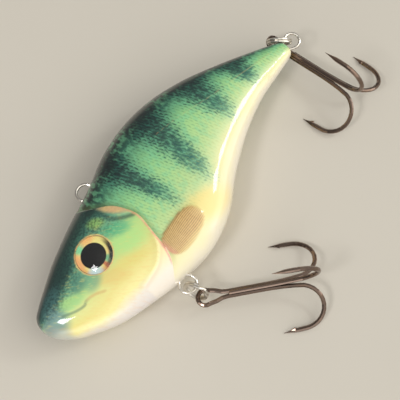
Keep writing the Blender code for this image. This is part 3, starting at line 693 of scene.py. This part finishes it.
def head_colour(g, x, y, rise):
    """Yellow cheek, green gill cover, dark snout and back, pale jaw."""
    level = g.add(rise, g.mul(g.sub(g.noise(180), 0.5), 0.07))
    level = g.add(level, g.step(x, 2.0, 24.0, 0.10, 0.0))
    colour = patched(g, x, y, g.ramp(level, HEAD_RAMP), HEAD_PATCHES)
    slanted = g.vector(g.mul(g.add(x, y), 1.3), g.mul(g.sub(x, y), 0.35), 0.0)
    fibres = g.noise(1.0, 4.0, slanted)
    warm = g.mul(g.step(fibres, 0.42, 0.75), g.step(level, 0.52, 0.34))
    colour = g.mix(g.mul(warm, 0.16), colour, "e8a850")
    band = g.mul(g.step(level, 0.38, 0.5), g.step(level, 0.8, 0.7))
    colour = g.mix(g.mul(g.mul(g.step(fibres, 0.5, 0.72), band), 0.3), colour, "e8e27c")
    dots = g.mul(g.step(g.noise(1700, 2.0), 0.4, 0.65), g.step(level, 0.5, 0.76))
    clear = g.step(spot(g, x, y, *CLEAR_PATCH), 0.0, 0.5, 0.6, 0.1)
    colour = g.mix(g.mul(dots, clear), colour, "0c2426")
    colour = g.mix(g.mul(stroke(g, "crease", 0.1, 0.95), 0.7), colour, "1f4038")

    # The mouth is dark at its front and tan behind.
    mouth = stroke(g, "mouth", 0.05, 0.6)
    colour = g.mix(g.mul(mouth, g.step(x, 14.0, 11.5, 0.0, 0.6)), colour, "2f5c46")
    colour = g.mix(g.mul(mouth, g.step(x, 11.5, 14.0, 0.0, 0.6)), colour, "cda45c")

    # A tan ring round the eye socket.
    off_eye = g.length(*(g.sub(a, b) for a, b in zip((x, y), EYE_CENTRE)))
    ring = g.mul(g.step(off_eye, 5.15, 5.6, 1.0, 0.0), g.step(fibres, 0.3, 0.6, 0.2, 0.8))
    colour = g.mix(ring, colour, "e0b070")

    # Behind the cheek's edge the gill cover is pale, and its own edge is pink. A painted highlight
    # runs along the cheek's edge, with a faint painted shadow just behind it.
    cheek, cover = g.attribute("cheek"), g.attribute("outer_cover")
    pale = g.ramp(rise, ((0.08, "ece2d2"), (0.2, "ecdeaa"), (0.35, "e0ce82")))
    colour = g.mix(g.mul(g.mul(g.step(rise, 0.42, 0.25), cover), 0.8), colour, pale)
    # Painted highlight: a pale stroke along the cheek's raised edge.
    edge = g.mul(g.step(cheek, 0.05, 0.5, 1.0, 0.0), g.step(rise, 0.1, 0.16, 0.0, 0.55))
    colour = g.mix(edge, colour, "fff4b4")
    # Painted shadow: a faint tan band on the gill cover just behind the cheek's edge.
    cheek_shadow = g.mul(g.step(cheek, 0.3, 0.7), g.step(cheek, 0.7, 1.6, 1.0, 0.0))
    colour = g.mix(g.mul(cheek_shadow, g.mul(cover, 0.16)), colour, "c98a54")
    rim = g.mul(g.step(rise, 0.07, 0.14), g.step(rise, 0.72, 0.55))
    rim = g.mul(g.step(g.attribute("behind_gill"), -0.6, -0.15), rim)
    rim = g.mul(rim, g.step(fibres, 0.3, 0.6, 0.5, 0.85))
    pink = g.ramp(rise, ((0.1, "e88a84"), (0.3, "eda084"), (0.55, "d8a478")))
    return g.mix(rim, colour, pink)


def fin_colour(g, speckle):
    """Tan web with fine dark rays that fan out from a pink root."""
    share, across = g.attribute("fin_share"), g.attribute("fin_across")
    fan = g.mul(across, g.step(share, -0.1, 0.8, 21.0, 14.0))
    rays = g.math("SINE", g.mul(g.add(fan, g.mul(g.noise(260), 0.7)), math.pi))
    segments = g.math("SINE", g.mul(share, 95.0))
    web = g.mix(g.step(rays, 0.1, 1.0, 0.0, 0.9), "c89f5c", "7c5c30")
    web = g.mix(g.mul(g.step(segments, 0.2, 1.0), 0.15), web, "8a6a3c")
    web = g.mix(g.mul(speckle, 0.2), web, "e2bf7c")
    web = g.mix(g.mul(g.step(share, 0.78, 1.0), 0.4), web, "dcbc74")
    # Painted highlight along the fin's belly-side edge.
    web = g.mix(g.mul(g.step(across, -0.5, -1.0), 0.5), web, "ecd490")
    # Painted shade along the fin's back-side edge.
    web = g.mix(g.mul(g.step(across, 0.75, 0.95), 0.5), web, "7a6238")
    return g.mix(g.mul(g.step(share, 0.14, 0.0), 0.65), web, "d98a80")


def paint_material():
    """The perch finish under clear coat: trunk, head and fin, parted by the gill's edge."""
    g = Graph("photo_finish_paint", Roughness=0.38, Coat_Weight=1.0, Coat_Roughness=0.02, Coat_IOR=1.5)
    x, y = bait_axes(g)
    rise, behind = g.attribute("rise"), g.attribute("behind_gill")
    speckle = g.step(g.noise(1400, 3.0), 0.3, 0.75)
    marks = scale_marks(g, x, y)
    trunk = trunk_colour(g, x, y, rise, marks, speckle)
    shadow = g.mul(g.step(behind, 0.1, 0.4), g.step(behind, 0.4, 2.2, 1.0, 0.0))
    trunk = g.mix(g.mul(shadow, g.step(rise, 0.05, 0.2, 0.0, 0.4)), trunk, "5d6a34")
    colour = g.mix(g.step(behind, -0.05, 0.2), head_colour(g, x, y, rise), trunk)
    colour = g.mix(g.mul(g.attribute("fin"), 0.95), colour, fin_colour(g, speckle))
    g.set("Base Color", colour)
    g.bump(g.mul(marks, g.step(behind, 0.5, 1.5)), 0.10, 0.06 * MM)
    return g.material


def metal_material(name, colour, worn, roughness, scale):
    """Plated or drawn metal: fine streaks and small worn patches in its colour and roughness."""
    g = Graph(name, Metallic=1.0)
    streaks = g.noise(scale, 5.0)
    patches = g.step(g.noise(scale / 6, 3.0), 0.5, 0.75)
    g.set("Base Color", g.mix(g.add(g.mul(streaks, 0.25), g.mul(patches, 0.35)), colour, worn))
    g.set("Roughness", g.add(roughness, g.mul(streaks, 0.12)))
    g.bump(patches, 0.02, 0.01 * MM)
    return g.material


def sector(g, angle, middle, half_width):
    """1 near one direction round the eye, falling to 0 at the half width."""
    near = g.math("COSINE", g.sub(angle, math.radians(middle)))
    return g.step(near, math.cos(math.radians(half_width)), 1.0)


def iris_material():
    """Foil iris: gold and green with orange, a black pupil, a painted-shadow rear crescent and a
    painted reflection.
    """
    g = Graph("foil_iris", Metallic=0.0, Specular_IOR_Level=0.15)
    x, y = bait_axes(g)
    dx = g.sub(x, EYE_CENTRE[0] + PUPIL_SHIFT[0])
    dy = g.sub(y, EYE_CENTRE[1] + PUPIL_SHIFT[1])
    radius = g.length(dx, dy)
    angle = g.math("ARCTAN2", dy, dx)
    grain = g.noise(1.0, 4.0, g.vector(g.mul(dx, 1.6), g.mul(dy, 1.6), 0.0))
    ring = g.ramp(g.add(g.mul(radius, 0.2), g.mul(g.sub(grain, 0.5), 0.2)), IRIS_RAMP)
    for middle, half, colour, weight in IRIS_SECTORS:
        ring = g.mix(g.mul(sector(g, angle, middle, half), weight), ring, colour)
    # Painted shadow of the dome's rim: a dark crescent at the rear of the iris.
    dome_shadow = g.mul(sector(g, angle, -38, 60), g.step(radius, 3.9, 4.5))
    ring = g.mix(dome_shadow, ring, "14201a")
    ring = g.mix(g.mul(g.step(grain, 0.5, 0.8), 0.35), ring, "fff0b0")
    edge = (PUPIL_RADIUS - 0.1, PUPIL_RADIUS + 0.1)
    g.set("Base Color", g.mix(g.step(radius, *edge), "030303", ring))
    g.set("Roughness", g.step(radius, *edge, 0.5, 0.35))
    g.bump(g.mul(grain, g.step(radius, *edge)), 0.08, 0.03 * MM)
    return g.material


def lens_material():
    """Clear resin: see-through, with a thin gloss and faint ripples."""
    g = Graph("clear_dome", Roughness=0.02)
    gloss = g.nodes.new("ShaderNodeBsdfGlossy")
    gloss.inputs["Roughness"].default_value = 0.04
    clear = g.nodes.new("ShaderNodeBsdfTransparent")
    fresnel = g.nodes.new("ShaderNodeFresnel")
    fresnel.inputs["IOR"].default_value = 1.5
    ripple = g.nodes.new("ShaderNodeBump")
    ripple.inputs["Strength"].default_value = 0.005
    ripple.inputs["Distance"].default_value = 0.1 * MM
    g.links.new(g.noise(60, 0.0), ripple.inputs["Height"])
    g.links.new(ripple.outputs[0], gloss.inputs["Normal"])
    blend = g.nodes.new("ShaderNodeMixShader")
    g.links.new(g.math("MINIMUM", fresnel.outputs[0], 0.1), blend.inputs[0])
    g.links.new(clear.outputs[0], blend.inputs[1])
    g.links.new(gloss.outputs[0], blend.inputs[2])
    g.links.new(blend.outputs[0], g.nodes["Material Output"].inputs["Surface"])
    g.nodes.remove(g.shader)
    return g.material


def floor_material():
    """Matt and pale, hardly mottled."""
    g = Graph("pale_floor", Roughness=0.75)
    g.set("Base Color", g.mix(g.mul(g.noise(30), 0.25), "cdc6ba", "c2bbae"))
    return g.material


def dress(names, material):
    """Gives CAD nodes their finished material. Their shading stays as packed."""
    for name in names:
        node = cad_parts[name]
        node.data.materials.clear()
        node.data.materials.append(material)


# ---- stage --------------------------------------------------------------------------
def add_camera():
    """A camera at its place, looking back along its azimuth and elevation, then rolled."""
    angles = (CAMERA_AZIMUTH, CAMERA_ELEVATION, CAMERA_ROLL)
    azimuth, elevation, roll = (math.radians(angle) for angle in angles)
    reach = math.cos(elevation)
    back = Vector((math.sin(azimuth) * reach, -math.cos(azimuth) * reach, math.sin(elevation)))
    level = Vector((math.cos(azimuth), math.sin(azimuth), 0.0))
    up = back.cross(level)
    right = math.cos(roll) * level + math.sin(roll) * up
    data = bpy.data.cameras.new("camera")
    data.lens = CAMERA_LENS
    data.clip_start = 0.01
    camera = bpy.data.objects.new("camera", data)
    turn = Matrix((right, back.cross(right), back)).transposed().to_4x4()
    camera.matrix_world = Matrix.Translation(Vector(CAMERA_PLACE) * MM) @ turn
    bpy.context.scene.collection.objects.link(camera)
    bpy.context.scene.camera = camera


def bearing_vector(bearing):
    """The direction of an azimuth and an elevation, in degrees."""
    azimuth, elevation = (math.radians(a) for a in bearing)
    level = math.cos(elevation)
    return Vector((math.cos(azimuth) * level, math.sin(azimuth) * level, math.sin(elevation)))


def add_light(name, bearing, distance, size, power, colour):
    """An area light that faces the bait from a bearing: azimuth and elevation in degrees."""
    data = bpy.data.lights.new(name, "AREA")
    data.shape = "RECTANGLE"
    data.size, data.size_y = size
    data.energy = power
    data.color = colour
    light = bpy.data.objects.new(name, data)
    direction = bearing_vector(bearing)
    light.location = direction * distance
    light.rotation_euler = direction.to_track_quat("Z", "Y").to_euler()
    bpy.context.scene.collection.objects.link(light)


def facing(tree, place, bearing):
    """How squarely each direction of the sky faces a bearing, as a cosine."""
    node = tree.nodes.new("ShaderNodeVectorMath")
    node.operation = "DOT_PRODUCT"
    node.inputs[1].default_value = bearing_vector(bearing)
    tree.links.new(place, node.inputs[0])
    return node.outputs["Value"]


def add_sky():
    """Soft light from all round, brightest from over the belly side, with two low glows."""
    world = bpy.data.worlds.new("studio")
    world.use_nodes = True
    tree = world.node_tree
    place = tree.nodes.new("ShaderNodeTexCoord").outputs["Generated"]
    sky = tree.nodes.new("ShaderNodeValToRGB")
    while len(sky.color_ramp.elements) < len(SKY):
        sky.color_ramp.elements.new(0.5)
    for element, (at, colour) in zip(sky.color_ramp.elements, SKY):
        element.position = at
        element.color = (*colour, 1.0)
    tree.links.new(facing(tree, place, SKY_BEARING), sky.inputs[0])
    light = sky.outputs[0]
    for bearing, strength in LOW_GLOWS:
        glow = tree.nodes.new("ShaderNodeMapRange")
        glow.interpolation_type = "SMOOTHSTEP"
        glow.inputs["From Min"].default_value = GLOW_EDGE[0]
        glow.inputs["From Max"].default_value = GLOW_EDGE[1]
        glow.inputs["To Max"].default_value = strength
        tree.links.new(facing(tree, place, bearing), glow.inputs["Value"])
        both = tree.nodes.new("ShaderNodeVectorMath")
        both.operation = "ADD"
        tree.links.new(light, both.inputs[0])
        tree.links.new(glow.outputs[0], both.inputs[1])
        light = both.outputs[0]
    tree.links.new(light, tree.nodes["Background"].inputs["Color"])
    bpy.context.scene.world = world


def add_stage():
    """The floor that the bait lies on, the sky and the lights."""
    mesh = bpy.data.meshes.new("floor")
    tool = bmesh.new()
    bmesh.ops.create_grid(tool, x_segments=1, y_segments=1, size=FLOOR_SIZE)
    tool.to_mesh(mesh)
    tool.free()
    floor = bpy.data.objects.new("floor", mesh)
    floor.location.z = -FLOOR_DROP
    mesh.materials.append(floor_material())
    bpy.context.scene.collection.objects.link(floor)
    add_sky()
    for light in LIGHTS:
        add_light(*light)
    bpy.context.scene.view_settings.view_transform = "Standard"


def main():
    """Sets the camera and the stage, then makes the finer pieces and dresses the rest."""
    add_camera()
    add_stage()
    paint, foil, lens = paint_material(), iris_material(), lens_material()
    for side_name, side in SIDES:
        make_skin(side_name, side, paint)
    for side_name, side in SIDES:
        make_eye(side_name, side, foil, lens)
    metals = {name: metal_material(name, *look) for name, look in METALS.items()}
    dress(HOOKS, metals["black_nickel_plate"])
    dress(WIRES, metals["bright_wire"])
    dress([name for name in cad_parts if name.endswith("_ball")], metals["ballast_shot"])


main()
